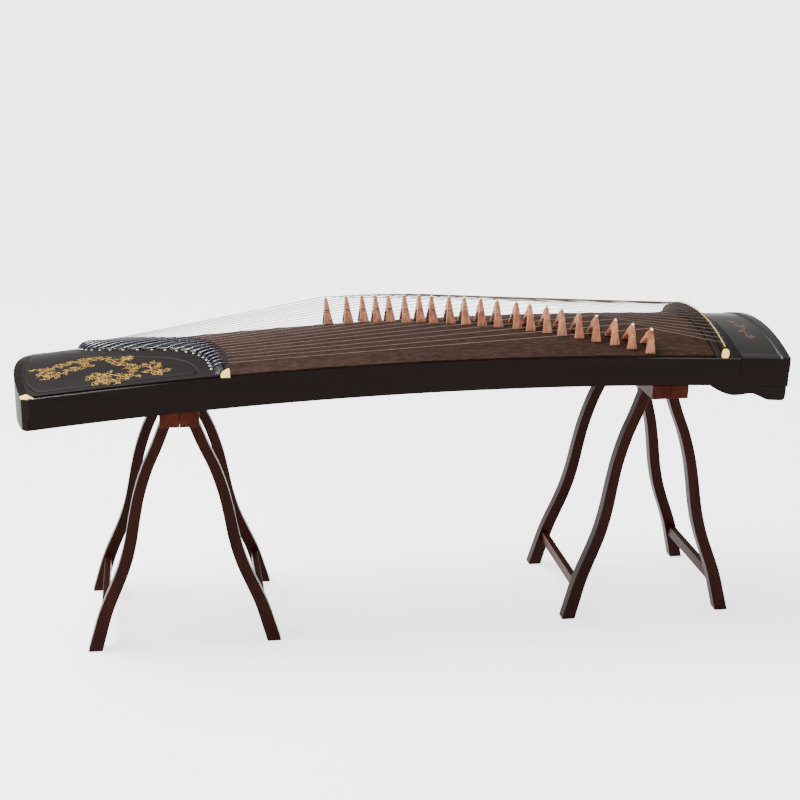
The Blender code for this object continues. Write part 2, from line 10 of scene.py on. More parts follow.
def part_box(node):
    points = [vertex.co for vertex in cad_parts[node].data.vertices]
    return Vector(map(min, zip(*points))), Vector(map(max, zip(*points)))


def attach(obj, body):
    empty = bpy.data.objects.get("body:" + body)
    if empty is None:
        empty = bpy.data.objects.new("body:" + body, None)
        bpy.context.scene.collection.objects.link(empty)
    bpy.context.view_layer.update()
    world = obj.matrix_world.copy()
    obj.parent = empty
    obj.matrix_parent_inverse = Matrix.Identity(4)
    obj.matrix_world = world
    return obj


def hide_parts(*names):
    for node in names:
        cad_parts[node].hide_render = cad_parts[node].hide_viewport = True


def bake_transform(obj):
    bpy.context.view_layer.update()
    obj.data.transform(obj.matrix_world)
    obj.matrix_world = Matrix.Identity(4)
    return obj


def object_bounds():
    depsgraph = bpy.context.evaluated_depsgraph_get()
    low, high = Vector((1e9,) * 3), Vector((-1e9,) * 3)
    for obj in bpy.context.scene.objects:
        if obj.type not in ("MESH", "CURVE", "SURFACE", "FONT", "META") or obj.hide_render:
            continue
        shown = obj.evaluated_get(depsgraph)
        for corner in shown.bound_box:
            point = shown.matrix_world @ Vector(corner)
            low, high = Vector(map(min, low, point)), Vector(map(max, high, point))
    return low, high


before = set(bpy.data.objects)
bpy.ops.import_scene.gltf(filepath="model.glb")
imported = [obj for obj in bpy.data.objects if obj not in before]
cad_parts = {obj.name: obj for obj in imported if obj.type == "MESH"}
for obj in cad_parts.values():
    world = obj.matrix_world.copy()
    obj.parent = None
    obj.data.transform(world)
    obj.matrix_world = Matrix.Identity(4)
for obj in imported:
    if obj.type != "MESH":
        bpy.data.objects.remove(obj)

CAD_LOW, CAD_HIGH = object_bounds()
GAP = 0.0003

# The body's curves, in the same form as the CAD
LID_LOW, LID_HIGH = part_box("tuning_lid")
TAIL_X, HEAD_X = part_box("tail_block")[0].x, LID_HIGH.x
LENGTH = HEAD_X - TAIL_X
TAIL_WIDTH = 0.325
HEAD_WIDTH = LID_HIGH.y - LID_LOW.y
CAMBER_RADIUS = 9.85
APEX_X, APEX_Z = 0.3175, 0.5633
SIDE_HEIGHT, SIDE_TAPER = 0.0632, 0.0039
RISE_TAIL, RISE_HEAD = 0.0241, 0.0392
SIDE_THICKNESS = 0.009
BOARD_THICKNESS = 0.008
TAIL_BULGE = 0.0267
TAIL_WALL = 0.014
BLOCK_END = TAIL_X + TAIL_BULGE + TAIL_WALL
CORNER_CHAMFER = 0.0105

# Soundboard, ribs, the sides' edge beads, which are thin lines of painted highlight, and the tail panel with
# its sunk line
SEAM_REACH = 0.16  # half the seam's length across the body
BOARD_END = 0.66
RIB_PLACES = (-0.28, 0.05, 0.36)
RIB_REACH, RIB_WIDTH, RIB_DEPTH = 0.145, 0.012, 0.026
BEAD_THIN, BEAD_THICK = 0.0004, 0.001
DECK_REACH = TAIL_WIDTH / 2 - 0.0125
DECK_WIDENING = 0.003
GROOVE_DEPTH, GROOVE_WIDTH = 0.0019, 0.0015

# Head end
NUT_START, NUT_CREST, NUT_HEIGHT = 0.649, 0.668, 0.0235
BODY_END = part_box("near_side_panel")[1].x
SLOT_X = 0.67325
LID_START, LID_SEAM_Z = LID_LOW.x, LID_LOW.z
RIM_START, RIM_HEIGHT = 0.7985, 0.003
LID_GROOVE = 0.0055
FOOT_THICKNESS = 0.014

# Strings, counted from the farthest
STRINGS = 21
HOLE_MIDDLE_Y, HOLE_REACH = -0.002, 0.13
HOLE_BEND_X, HOLE_BEND_Y = -0.567, 0.012
NUT_BEND_X, NUT_BEND_Y, NUT_REACH, NUT_SPREAD = -0.5465, 0.062, 0.155, 0.095
FRONT_REACH = 0.168
REAR_NUT_HEIGHT = 0.0095
BED_LEAD, BED_REACH = 0.0042, 0.1535
BED_CROWN_NEAR, BED_CROWN_FAR = 2.3, 5.5
STRING_THICKEST, STRING_THINNEST = 0.0008, 0.00042
WINDING_THICKNESS, WINDING_SLACK = 0.0012, 0.005
BRIDGE_HEIGHT, BRIDGE_DROP = 0.06, 0.011
BRIDGE_DEPTH, BRIDGE_TOP_DEPTH = 0.0215, 0.0045
BRIDGE_FLAT = 0.0006
PIN_ROWS = (0.7385, 0.7605, 0.7825)
PIN_SPREAD = 0.158
PIN_BLOCK_THICKNESS = 0.02
PIN_RADIUS, PIN_HEAD_HALF, PIN_HEAD_HEIGHT = 0.003, 0.0026, 0.0095
COIL_HEIGHT = 0.012
SADDLE_LENGTH = 0.0056
FOOT_ARCH = 0.038
EYELET_PROFILE = ((0.0026, -0.002), (0.003, 0.0002), (0.0026, 0.0009), (0.0018, 0.0011), (0.0015, 0.0008))

# Trestles
RAIL_WIDTH = 0.0403
LEG_DEPTH, LEG_SPREAD_Y, LEG_LEAN = 0.0275, 0.323, 0.05
LEG_WIDTH_FOOT, LEG_WIDTH_TOP = 0.03, 0.024
LEG_PATH = ((0.0, 1.0), (0.07, 0.945), (0.18, 0.852), (0.34, 0.668), (0.45, 0.578), (0.58, 0.51),
            (0.67, 0.455), (0.77, 0.366), (0.87, 0.245), (1.0, 0.107))
LEG_TOP = 0.022
STRETCHER_Z, STRETCHER_HEIGHT, STRETCHER_THICKNESS = 0.075, 0.026, 0.014
HINGE_LENGTH, HINGE_DROP = 0.2, 0.0035
LEAF_START, LEAF_END, LEAF_THICKNESS, SCREW_OFFSET = 0.0012, 0.017, 0.0016, 0.0105

# Each trestle's place along Y, half its rail's length, and how far out its feet stand
TRESTLES = {
    "left_trestle": (0.0, 0.16, 0.19),
    "right_trestle": (0.016, 0.183, 0.182),
}


def lerp(a, b, t):
    return a + (b - a) * t


def smooth(t):
    t = min(1.0, max(0.0, t))
    return t * t * (3 - 2 * t)


def along(x):
    return (x - TAIL_X) / LENGTH


def underside(x):
    return APEX_Z - (x - APEX_X) ** 2 / (2 * CAMBER_RADIUS)


def edge_top(x):
    return underside(x) + SIDE_HEIGHT - SIDE_TAPER * x


def half_width(x):
    return lerp(TAIL_WIDTH, HEAD_WIDTH, along(x)) / 2


def inner_half(x):
    return half_width(x) - SIDE_THICKNESS - GAP


def surface(x, y):
    rise = lerp(RISE_TAIL, RISE_HEAD, along(x))
    radius = (half_width(x) ** 2 + rise ** 2) / (2 * rise)
    return edge_top(x) + rise - radius + math.sqrt(max(radius ** 2 - y ** 2, 0.0))


def on_surface(x, y, lift=0.0):
    return Vector((x, y, surface(x, y) + lift))


def rear_nut_x(y):
    return NUT_BEND_X - NUT_REACH * math.tanh((y - NUT_BEND_Y) / NUT_SPREAD)


def hole_line_x(y):
    reach, spread = (0.155, 0.066) if y < HOLE_BEND_Y else (0.13, 0.0553)
    return HOLE_BEND_X - reach * math.tanh((y - HOLE_BEND_Y) / spread)


def tail_end_x(y, chamfer=2.2):
    corner = max(0.0, abs(y) - TAIL_WIDTH / 2 + CORNER_CHAMFER)
    return TAIL_X + TAIL_BULGE * (2 * y / TAIL_WIDTH) ** 2 + chamfer * corner


# ---- mesh helpers

# The angle of sharp edges on a turned or swept shape, in degrees: only the rims of its ends stay sharp
ROUND = 80.0


def slope(curve, at, step=0.001):
    return (curve(at + step) - curve(at - step)) / (2 * step)


def make_piece(name, bm, material, body="guzheng", replaced=(), sharp=35.0,
               even=False):
    """Makes a visible object of a bmesh. Even keeps flat faces looking flat beside their rounded edges."""
    mesh = close_bmesh(bm, name, sharp)
    mesh.materials.append(material)
    obj = bpy.data.objects.new(name, mesh)
    bpy.context.scene.collection.objects.link(obj)
    if body:
        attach(obj, body)
    if replaced:
        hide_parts(*replaced)
    if even:
        modifier = obj.modifiers.new("even_normals", "WEIGHTED_NORMAL")
        modifier.keep_sharp = True
        modifier.weight = 80
    return obj


def make_tube(name, points, radius, sides, material, body="guzheng"):
    """A piece that is one tube along the points."""
    bm = bmesh.new()
    sweep(bm, points, radius, sides)
    return make_piece(name, bm, material, body, sharp=ROUND)


def close_bmesh(bm, name, sharp=35.0):
    """Turns the faces outwards, shades smooth except over sharp edges, and returns the mesh."""
    bmesh.ops.recalc_face_normals(bm, faces=bm.faces[:])
    for face in bm.faces:
        face.smooth = True
    for edge in bm.edges:
        if len(edge.link_faces) == 2 and edge.calc_face_angle(0.0) > math.radians(sharp):
            edge.smooth = False
    mesh = bpy.data.meshes.new(name)
    bm.to_mesh(mesh)
    bm.free()
    return mesh


def soften(bm, width, segments=2, angle=40.0):
    """Rounds every edge that is sharper than the angle."""
    bmesh.ops.recalc_face_normals(bm, faces=bm.faces[:])
    edges = [e for e in bm.edges if len(e.link_faces) == 2 and e.calc_face_angle(0.0) > math.radians(angle)]
    bmesh.ops.bevel(bm, geom=edges, offset=width, offset_type="OFFSET", segments=segments, profile=0.6,
                    affect="EDGES", clamp_overlap=True)


def board_bmesh(columns, rows, place):
    """A closed board. place(u, w, top) gives the points of its upper and lower face: u runs from 0 to 1
    along it, and w from -1 to 1 across it."""
    bm = bmesh.new()
    bmesh.ops.create_grid(bm, x_segments=columns, y_segments=rows, size=0.5)
    first = set(bm.verts)
    bmesh.ops.extrude_face_region(bm, geom=bm.faces[:])
    for vert in bm.verts:
        vert.co = place(vert.co.x + 0.5, 2 * vert.co.y, vert not in first)
    return bm


def skin(bm, rings):
    """Joins rings of points into a closed tube."""
    sides = len(rings[0])
    for before, after in zip(rings, rings[1:]):
        for step in range(sides):
            following = (step + 1) % sides
            bm.faces.new((before[step], before[following], after[following], after[step]))
    bm.faces.new(rings[0][::-1])
    bm.faces.new(rings[-1])


def box_bmesh(low, high):
    bm = bmesh.new()
    bmesh.ops.create_cube(bm, size=1.0)
    low, high = Vector(low), Vector(high)
    bmesh.ops.scale(bm, vec=high - low, verts=bm.verts)
    bmesh.ops.translate(bm, vec=(low + high) / 2, verts=bm.verts)
    return bm


def sweep(bm, points, radius, sides):
    """Adds a closed tube along the points. The radius is one number, or one for each point."""
    count = len(points)
    radii = [radius] * count if isinstance(radius, float) else radius
    normal = None
    rings = []
    for index, point in enumerate(points):
        tangent = (points[min(index + 1, count - 1)] - points[max(index - 1, 0)]).normalized()
        if normal is None:
            normal = Vector((0, 0, 1)) if abs(tangent.z) < 0.9 else Vector((1, 0, 0))
        normal = (normal - tangent * normal.dot(tangent)).normalized()
        side = tangent.cross(normal)
        turns = [math.tau * step / sides for step in range(sides)]
        rings.append([bm.verts.new(point + (normal * math.cos(turn) + side * math.sin(turn)) * radii[index])
                      for turn in turns])
    skin(bm, rings)


def turned(bm, profile, centre, sides, axis=Vector((0, 0, 1))):
    """Adds a closed turned shape: profile gives (radius, height) from one end to the other."""
    tilt = axis.to_track_quat("Z", "Y")
    rings = []
    for radius, height in profile:
        point = centre + axis * height
        turns = [math.tau * step / sides for step in range(sides)]
        rings.append([bm.verts.new(point + tilt @ Vector((math.cos(turn), math.sin(turn), 0)) * radius)
                      for turn in turns])
    skin(bm, rings)


def flat_cut(outline, thickness, place):
    """A flat board: an outline of (a, b) points, extruded, and moved by place(a, b, depth)."""
    bm = bmesh.new()
    face = bm.faces.new([bm.verts.new((a, b, 0.0)) for a, b in outline])
    made = bmesh.ops.extrude_face_region(bm, geom=[face])["geom"]
    top = [v for v in made if isinstance(v, bmesh.types.BMVert)]
    bmesh.ops.translate(bm, vec=(0, 0, thickness), verts=top)
    for vert in bm.verts:
        vert.co = place(vert.co.x, vert.co.y, vert.co.z)
    return bm


def subtract(outer, inner):
    """The first bmesh with the second cut away."""
    a, b = [bpy.data.objects.new("work", close_bmesh(bm, "work")) for bm in (outer, inner)]
    for obj in (a, b):
        bpy.context.scene.collection.objects.link(obj)
    modifier = a.modifiers.new("cut", "BOOLEAN")
    modifier.operation = "DIFFERENCE"
    modifier.solver = "EXACT"
    modifier.object = b
    result = bmesh.new()
    result.from_mesh(bpy.data.meshes.new_from_object(
        a.evaluated_get(bpy.context.evaluated_depsgraph_get())))
    for obj in (a, b):
        bpy.data.objects.remove(obj)
    return result


def spline(points, steps):
    """A smooth path of tuples through the given points."""
    out = []
    for index in range(len(points) - 1):
        before = points[max(index - 1, 0)]
        a, b = points[index], points[index + 1]
        after = points[min(index + 2, len(points) - 1)]
        for step in range(steps):
            t = step / steps
            out.append(tuple(0.5 * (2 * q + (r - p) * t + (2 * p - 5 * q + 4 * r - s) * t ** 2
                                    + (3 * q - p - 3 * r + s) * t ** 3)
                             for p, q, r, s in zip(before, a, b, after)))
    out.append(tuple(points[-1]))
    return out


# ---- materials

class Shader:
    """A Principled material with small helpers for its procedural nodes."""

    def __init__(self, name, **inputs):
        self.material = bpy.data.materials.new(name)
        self.material.use_nodes = True
        self.tree = self.material.node_tree
        self.surface = self.tree.nodes["Principled BSDF"]
        self.set(**inputs)

    def fill(self, node, **inputs):
        """Each input gets a value, or a link where it is given another node's output."""
        for name, value in inputs.items():
            socket = node.inputs[name.replace("_", " ")]
            if isinstance(value, bpy.types.NodeSocket):
                self.tree.links.new(value, socket)
            else:
                socket.default_value = value

    def set(self, **inputs):
        self.fill(self.surface, **inputs)

    def node(self, kind, output, **inputs):
        """Adds a node, fills its inputs and returns one of its outputs."""
        node = self.tree.nodes.new(f"ShaderNode{kind}")
        self.fill(node, **inputs)
        return node.outputs[output]

    def coordinates(self, scale=(1, 1, 1)):
        return self.node("Mapping", "Vector", Vector=self.node("TexCoord", "Object"), Scale=scale)

    def noise(self, vector, scale, detail=4.0, roughness=0.55, distortion=0.0):
        return self.node("TexNoise", "Fac", Vector=vector, Scale=scale, Detail=detail, Roughness=roughness,
                         Distortion=distortion)

    def ramp(self, factor, stops):
        ramp = self.tree.nodes.new("ShaderNodeValToRGB")
        elements = ramp.color_ramp.elements
        while len(elements) < len(stops):
            elements.new(0.5)
        for element, (position, colour) in zip(elements, stops):
            element.position = position
            element.color = (*colour, 1.0)
        self.fill(ramp, Fac=factor)
        return ramp.outputs["Color"]

    def mix(self, share, a, b):
        """The first colour with a share of the second."""
        mix = self.tree.nodes.new("ShaderNodeMix")
        mix.data_type = "RGBA"
        self.fill(mix, Factor=share)
        for name, source in (("A", a), ("B", b)):
            socket = [s for s in mix.inputs if s.name == name and s.type == "RGBA"][0]
            self.tree.links.new(source, socket)
        return [s for s in mix.outputs if s.type == "RGBA"][0]

    def span(self, factor, limits):
        """Maps 0..1 to a range."""
        return self.node("MapRange", "Result", Value=factor, To_Min=limits[0], To_Max=limits[1])

    def bump(self, height, distance, strength):
        self.set(Normal=self.node("Bump", "Normal", Height=height, Distance=distance, Strength=strength))


def grain_material(name, dark, middle, light, stretch, gloss, shine=0.3, coat=0.0, pores=0.5, fine=1.0):
    """Wood with streaks along one axis: stretch holds the texture's scale along X, Y and Z."""
    shader = Shader(name, Coat_Weight=coat, Coat_Roughness=0.12, Specular_IOR_Level=shine)
    where = shader.coordinates(scale=stretch)
    broad = shader.noise(where, 9.0 * fine, detail=3.0, distortion=0.6)
    streak = shader.noise(where, 48.0 * fine, detail=6.0, roughness=0.7)
    base = shader.ramp(broad, [(0.3, dark), (0.52, middle), (0.75, light)])
    lines = shader.ramp(streak, [(0.36, dark), (0.5, middle), (0.68, light)])
    shader.set(Base_Color=shader.mix(pores, base, lines), Roughness=shader.span(streak, gloss))
    shader.bump(streak, 0.0002, 0.35)
    return shader.material


def plain_material(name, low, high, gloss, metallic=0.0, scale=60.0, bump=0.0, coat=0.0):
    """A smooth substance with a little variation in colour and gloss."""
    shader = Shader(name, Metallic=metallic, Coat_Weight=coat, Coat_Roughness=0.15)
    where = shader.coordinates()
    cloud = shader.noise(where, scale, detail=5.0)
    shader.set(Base_Color=shader.ramp(cloud, [(0.3, low), (0.7, high)]),
               Roughness=shader.span(shader.noise(where, scale * 3, detail=3.0), gloss))
    if bump:
        shader.bump(cloud, bump, 0.4)
    return shader.material


ALONG_X = (0.035, 1.0, 1.0)
ALONG_Y = (1.0, 0.05, 1.0)
ALONG_Z = (1.0, 1.0, 0.06)

LACQUER = grain_material("black_brown_lacquer", (0.0024, 0.001, 0.0007), (0.0044, 0.0018, 0.0012),
                         (0.008, 0.0034, 0.0022), ALONG_X, (0.4, 0.52), shine=0.05)
# The same lacquer made lighter and greyer for faces that look up: painted sheen over the lacquer's own grain.
LACQUER_WITH_SHEEN = grain_material("lacquer_with_painted_sheen", (0.004, 0.0028, 0.0024), (0.0066, 0.0048, 0.0042),
                       (0.0105, 0.0078, 0.0068), ALONG_X, (0.4, 0.54), shine=0.07)
NUT_WOOD = grain_material("nut_wood", (0.0034, 0.0017, 0.0012), (0.008, 0.0041, 0.0029),
                          (0.018, 0.0095, 0.0068), ALONG_Y, (0.45, 0.6), shine=0.08)
GLOSS = plain_material("polished_black", (0.002, 0.002, 0.003), (0.005, 0.004, 0.005), (0.1, 0.2),
                       coat=0.3)
SOUNDBOARD = grain_material("soundboard_wood", (0.0095, 0.0048, 0.0032), (0.0265, 0.0136, 0.0094),
                            (0.062, 0.034, 0.025), (0.16, 1.0, 1.0), (0.58, 0.75), shine=0.06, pores=0.8,
                            fine=6.5)
TRESTLE = grain_material("trestle_wood", (0.006, 0.0007, 0.0002), (0.0125, 0.0016, 0.0004),
                         (0.027, 0.0046, 0.0012), ALONG_Z, (0.34, 0.46), shine=0.045, pores=0.45)
RAIL = grain_material("rail_wood", (0.011, 0.0013, 0.0003), (0.026, 0.0036, 0.0008),
                      (0.05, 0.0092, 0.0022), ALONG_Y, (0.32, 0.44), shine=0.04, pores=0.5)
BRIDGE = grain_material("bridge_wood", (0.125, 0.034, 0.016), (0.36, 0.132, 0.068),
                        (0.62, 0.3, 0.175), (1.0, 1.0, 0.11), (0.36, 0.5), shine=0.2, pores=0.6, fine=2.6)
PALE = grain_material("pin_block_wood", (0.3, 0.19, 0.1), (0.47, 0.32, 0.18), (0.6, 0.44, 0.27),
                      ALONG_Y, (0.5, 0.65))
BONE = plain_material("bone", (0.84, 0.51, 0.1), (0.94, 0.7, 0.22), (0.28, 0.4), scale=90.0, bump=0.0001)
WHITE = plain_material("white_bone", (0.8, 0.74, 0.64), (0.92, 0.88, 0.8), (0.25, 0.38), scale=120.0)
GOLD = plain_material("gold_paint", (0.14, 0.06, 0.001), (0.47, 0.255, 0.002), (0.5, 0.65), metallic=0.1,
                      scale=300.0, bump=0.0001)
DULL_GOLD = plain_material("worn_gold_paint", (0.085, 0.036, 0.015), (0.2, 0.095, 0.042), (0.46, 0.62),
                           scale=300.0)
STEEL = plain_material("plated_steel", (0.5, 0.5, 0.52), (0.66, 0.66, 0.68), (0.22, 0.34), metallic=1.0,
                       scale=200.0)
BRASS = plain_material("brass", (0.52, 0.36, 0.13), (0.7, 0.5, 0.22), (0.28, 0.42), metallic=1.0,
                       scale=160.0)
STRING = plain_material("wound_string", (0.115, 0.084, 0.07), (0.225, 0.172, 0.147), (0.42, 0.58),
                        metallic=0.4, scale=400.0)
BLUE = plain_material("blue_winding", (0.0008, 0.001, 0.004), (0.003, 0.005, 0.042), (0.14, 0.24),
                      scale=120.0, bump=0.0002, coat=0.75)
# Painted highlight: a lighter, glossier lacquer for the thin beads that stand in for light caught on the side
# panels' top edges.
EDGE_HIGHLIGHT = plain_material("painted_edge_highlight", (0.01, 0.008, 0.007), (0.02, 0.017, 0.015), (0.26, 0.38), coat=0.1)
# The lid's top lacquer: lighter and greyer with painted sheen, and glossier than the sides.
LID_SHEEN = grain_material("lid_lacquer_with_painted_sheen", (0.004, 0.0028, 0.0026), (0.0066, 0.0048, 0.0046),
                     (0.0105, 0.0078, 0.0076), ALONG_X, (0.3, 0.42), shine=0.32)
# Painted shade: near black, for the dark middles of the string holes and the dark lines in the grooves.
SHADOW = plain_material("painted_shade", (0.002, 0.002, 0.002), (0.004, 0.004, 0.004), (0.7, 0.9))


# ---- instrument body

def seam_x(w):
    return rear_nut_x(w * SEAM_REACH)


def make_soundboard():
    def sheet(u, w, top):
        x = lerp(seam_x(w) + GAP, BOARD_END, u)
        return on_surface(x, w * inner_half(x), 0.0 if top else -BOARD_THICKNESS)

    def rib(u, w, top):
        x = middle + RIB_WIDTH * (u - 0.5)
        return on_surface(x, w * RIB_REACH, -(BOARD_THICKNESS + GAP) if top else -RIB_DEPTH)

    make_piece("soundboard_top", board_bmesh(90, 48, sheet), SOUNDBOARD, "guzheng",
               ["soundboard"])
    for number, middle in enumerate(RIB_PLACES, start=1):
        bm = board_bmesh(1, 24, rib)
        soften(bm, 0.001)
        make_piece(f"soundboard_rib_{number}", bm, PALE, "guzheng")


def make_sides():
    """The side panels, each with a thin lighter bead along its top edge: a painted highlight, thicker towards
    its ends.
    """
    start, lid_step = BLOCK_END - 0.001, LID_START - 0.001
    columns, bead_steps = 80, 60
    share = (lid_step - start) / (BODY_END - start)
    cut = round(share * columns)

    def panel(u, w, outside):
        """Two grid lines are put at the lid's step, so that the step is upright."""
        index = round(u * columns)
        if index <= cut:
            u = index / cut * (share - 0.00001)
        else:
            u = share + 0.0001 + (index - cut - 1) / (columns - cut - 1) * (1 - share - 0.0001)
        x = lerp(start, BODY_END, u)
        high = LID_SEAM_Z - GAP if x > lid_step else edge_top(x)
        y = side * (half_width(x) - (0.0 if outside else SIDE_THICKNESS))
        return Vector((x, y, lerp(underside(x), high, (w + 1) / 2)))

    for name, side in (("near_side_panel", -1), ("far_side_panel", 1)):
        bm = board_bmesh(columns, 4, panel)
        soften(bm, 0.0012, 3)
        make_piece(f"{name}_shell", bm, LACQUER, replaced=[name], even=True)
        # The bead is painted highlight along the rounded top edge, thin in the middle and thicker towards the
        # ends.
        bead, radii = [], []
        for step in range(bead_steps + 1):
            x = lerp(start + 0.002, LID_START - 0.003, step / bead_steps)
            bead.append(Vector((x, side * (half_width(x) - 0.0008), edge_top(x) - 0.0006)))
            off_middle = abs(step / bead_steps - 0.5)
            radii.append(lerp(BEAD_THIN, BEAD_THICK, smooth((off_middle - 0.22) / 0.2)))
        make_tube(f"{name}_edge", bead, radii, 8, EDGE_HIGHLIGHT)


def make_tail_block():
    def wall(u, w, top):
        y = w * TAIL_WIDTH / 2
        x = lerp(tail_end_x(y, 2.2 if top else 0.6), BLOCK_END, u)
        return on_surface(x, y) if top else Vector((x, y, underside(x)))

    def hollow(u, w, top):
        y = w * (TAIL_WIDTH / 2 - 0.012)
        return Vector((lerp(tail_end_x(y, 0.0) + TAIL_WALL, HEAD_X, u), y, 0.8 if top else 0.3))

    bm = subtract(board_bmesh(8, 96, wall), board_bmesh(1, 48, hollow))
    bmesh.ops.dissolve_degenerate(bm, edges=bm.edges[:], dist=0.00002)
    soften(bm, 0.0012, 3, 50)
    make_piece("tail_block_shell", bm, LACQUER, replaced=["tail_block"], sharp=30, even=True)


def groove_line():
    """The closed outline of the sunk line round the tail panel's painting."""
    near_y, far_y, bend_y = -0.143, 0.126, -0.08
    line = []
    for step in range(25):
        y = lerp(near_y + 0.008, far_y - 0.006, step / 24)
        line.append((-0.585 - 0.147 * math.tanh((y + 0.03) / 0.055), y))
    for step in range(1, 24):
        y = lerp(far_y, bend_y, step / 24)
        line.append((tail_end_x(y, 0.0) + 0.0205, y))
    line += [(-0.782, -0.11), (-0.768, -0.134)]
    line += [(lerp(-0.752, -0.452, step / 12), near_y) for step in range(13)]
    return spline([(*p, 0.0) for p in line + line[:1]], 12)


def make_tail_board():
    """The panel with the painting and the sunk line round it."""
    line = groove_line()
    near = KDTree(len(line))
    for index, point in enumerate(line):
        near.insert(point, index)
    near.balance()

    def deck(u, w, top):
        x = lerp(tail_end_x(w * DECK_REACH, 0.0) + TAIL_WALL + 0.0007, seam_x(w) - GAP, u)
        widening = min(1.0, max(0.0, (x - BLOCK_END) / DECK_WIDENING))
        y = w * lerp(DECK_REACH, inner_half(x), widening)
        if not top:
            return on_surface(x, y, -BOARD_THICKNESS)
        distance = near.find((x, y, 0.0))[2]
        return on_surface(x, y, -GROOVE_DEPTH * math.exp(-(distance / GROOVE_WIDTH) ** 2))

    columns, rows = ((340, 270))
    # The tail panel's lacquer carries painted sheen.
    make_piece("tail_panel", board_bmesh(columns, rows, deck), LACQUER_WITH_SHEEN, replaced=["tail_board"])
    # A dark tube along the bottom of the sunk line: painted shade in the groove.
    make_tube("tail_panel_groove", [on_surface(x, y, -0.0006) for x, y, _ in line[::4]], 0.0007, 6, SHADOW)


def bone_end(name, x, side, outline, reach):
    """A bone piece that caps a nut at the edge of the body: outline holds (along, height) points."""
    def place(a, b, depth):
        y = side * (half_width(x) + 0.0012 - depth)
        return Vector((x + a, y, edge_top(x) + 0.0008 + b + depth * 0.15))

    bm = flat_cut(outline, reach, place)
    soften(bm, 0.0012, 3)
    make_piece(name, bm, BONE, even=True)


def make_rear_nut():
    """A rounded bar along the nut's curve, with a bone piece at each end."""
    half, foot = 0.0052, 0.0015

    def bar(u, w, top):
        y = w * SEAM_REACH
        x = rear_nut_x(y)
        across = -half * math.cos(math.pi * u) * math.hypot(1.0, slope(rear_nut_x, y))
        height = foot + (REAR_NUT_HEIGHT - foot) * math.sin(math.pi * u)
        return on_surface(x + across, w * (half_width(x) - 0.001), height if top else GAP)

    bm = board_bmesh(12, 120, bar)
    soften(bm, 0.0006, 2, 50)
    make_piece("rear_nut_bar", bm, GLOSS, replaced=["rear_nut"], sharp=40)
    outline = [(-0.0085, 0.0), (-0.0098, 0.0048), (-0.0065, 0.009), (0.001, 0.014), (0.0072, 0.0172),
               (0.0092, 0.0135), (0.0092, 0.0)]
    y = half_width(-0.39)
    bone_end("rear_nut_end", rear_nut_x(-y) + 0.0045, -1, outline, 0.0085)
    bone_end("rear_nut_far_end", rear_nut_x(y) + 0.0045, 1, [(a, b * 0.55) for a, b in outline], 0.0085)


def bed_rise(x, y):
    """How far the polished bed stands over the surface, between the string holes and the rear nut."""
    share = (x - hole_line_x(y)) / (rear_nut_x(y) - hole_line_x(y))
    crown = lerp(BED_CROWN_NEAR, BED_CROWN_FAR, smooth(y / 0.15))
    return (REAR_NUT_HEIGHT - 0.0012) * (1 - (1 - min(1.0, max(0.0, share))) ** crown)


def make_string_bed():
    """The polished hump that rises from the string holes to the rear nut."""
    def hump(u, w, top):
        y = w * BED_REACH
        x_low = hole_line_x(y) + BED_LEAD * math.hypot(1.0, slope(hole_line_x, y))
        x = lerp(x_low, rear_nut_x(y) - 0.001, u ** 1.5)
        return on_surface(x, y, bed_rise(x, y) * smooth(u / 0.12) if top else -0.0012)

    make_piece("string_bed", board_bmesh(28, 140, hump), GLOSS, sharp=60)


def make_front_nut():
    """The sloping bar with its string slot, a bone line on the crest and bone ends."""
    shape = spline([(NUT_START, 0.003), (0.651, 0.0062), (0.655, 0.0078), (0.6592, 0.009),
                    (0.6606, 0.014), (0.6625, 0.019), (0.665, 0.0222), (NUT_CREST, NUT_HEIGHT),
                    (0.6712, 0.0222), (0.6765, 0.0145), (0.683, 0.0092), (0.693, 0.0045),
                    (LID_START - 0.0012, 0.0008)], 4)
    steps = len(shape) - 1

    def bar(u, w, top):
        x, height = shape[round(u * steps)]
        return on_surface(x, w * half_width(x), height if top else GAP)

    def strip(u, w, top):
        x = NUT_CREST + 0.0018 * (u - 0.5)
        return on_surface(x, w * (half_width(x) - 0.004), NUT_HEIGHT + (0.0002 if top else -0.0012))

    bm = subtract(board_bmesh(steps, 64, bar), box_bmesh((0.6715, -0.1735, 0.55), (0.675, 0.1735, 0.75)))
    soften(bm, 0.0008, 2, 55)
    nut = make_piece("front_nut_bar", bm, NUT_WOOD, replaced=["front_nut"], even=True)
    # Faces behind the crest get the lacquer with painted sheen.
    nut.data.materials.append(LACQUER_WITH_SHEEN)
    for face in nut.data.polygons:
        face.material_index = int(face.center.x > NUT_CREST + 0.001)
    make_piece("front_nut_bone_strip", board_bmesh(2, 64, strip), BONE)
    outline = [(-0.006, 0.0), (-0.0085, 0.0045), (-0.0078, 0.015), (-0.0045, 0.0205), (0.003, 0.0205),
               (0.0078, 0.015), (0.0085, 0.006), (0.006, 0.0)]
    bone_end("front_nut_end", 0.669, -1, outline, 0.008)
    bone_end("front_nut_far_end", 0.669, 1, outline, 0.008)


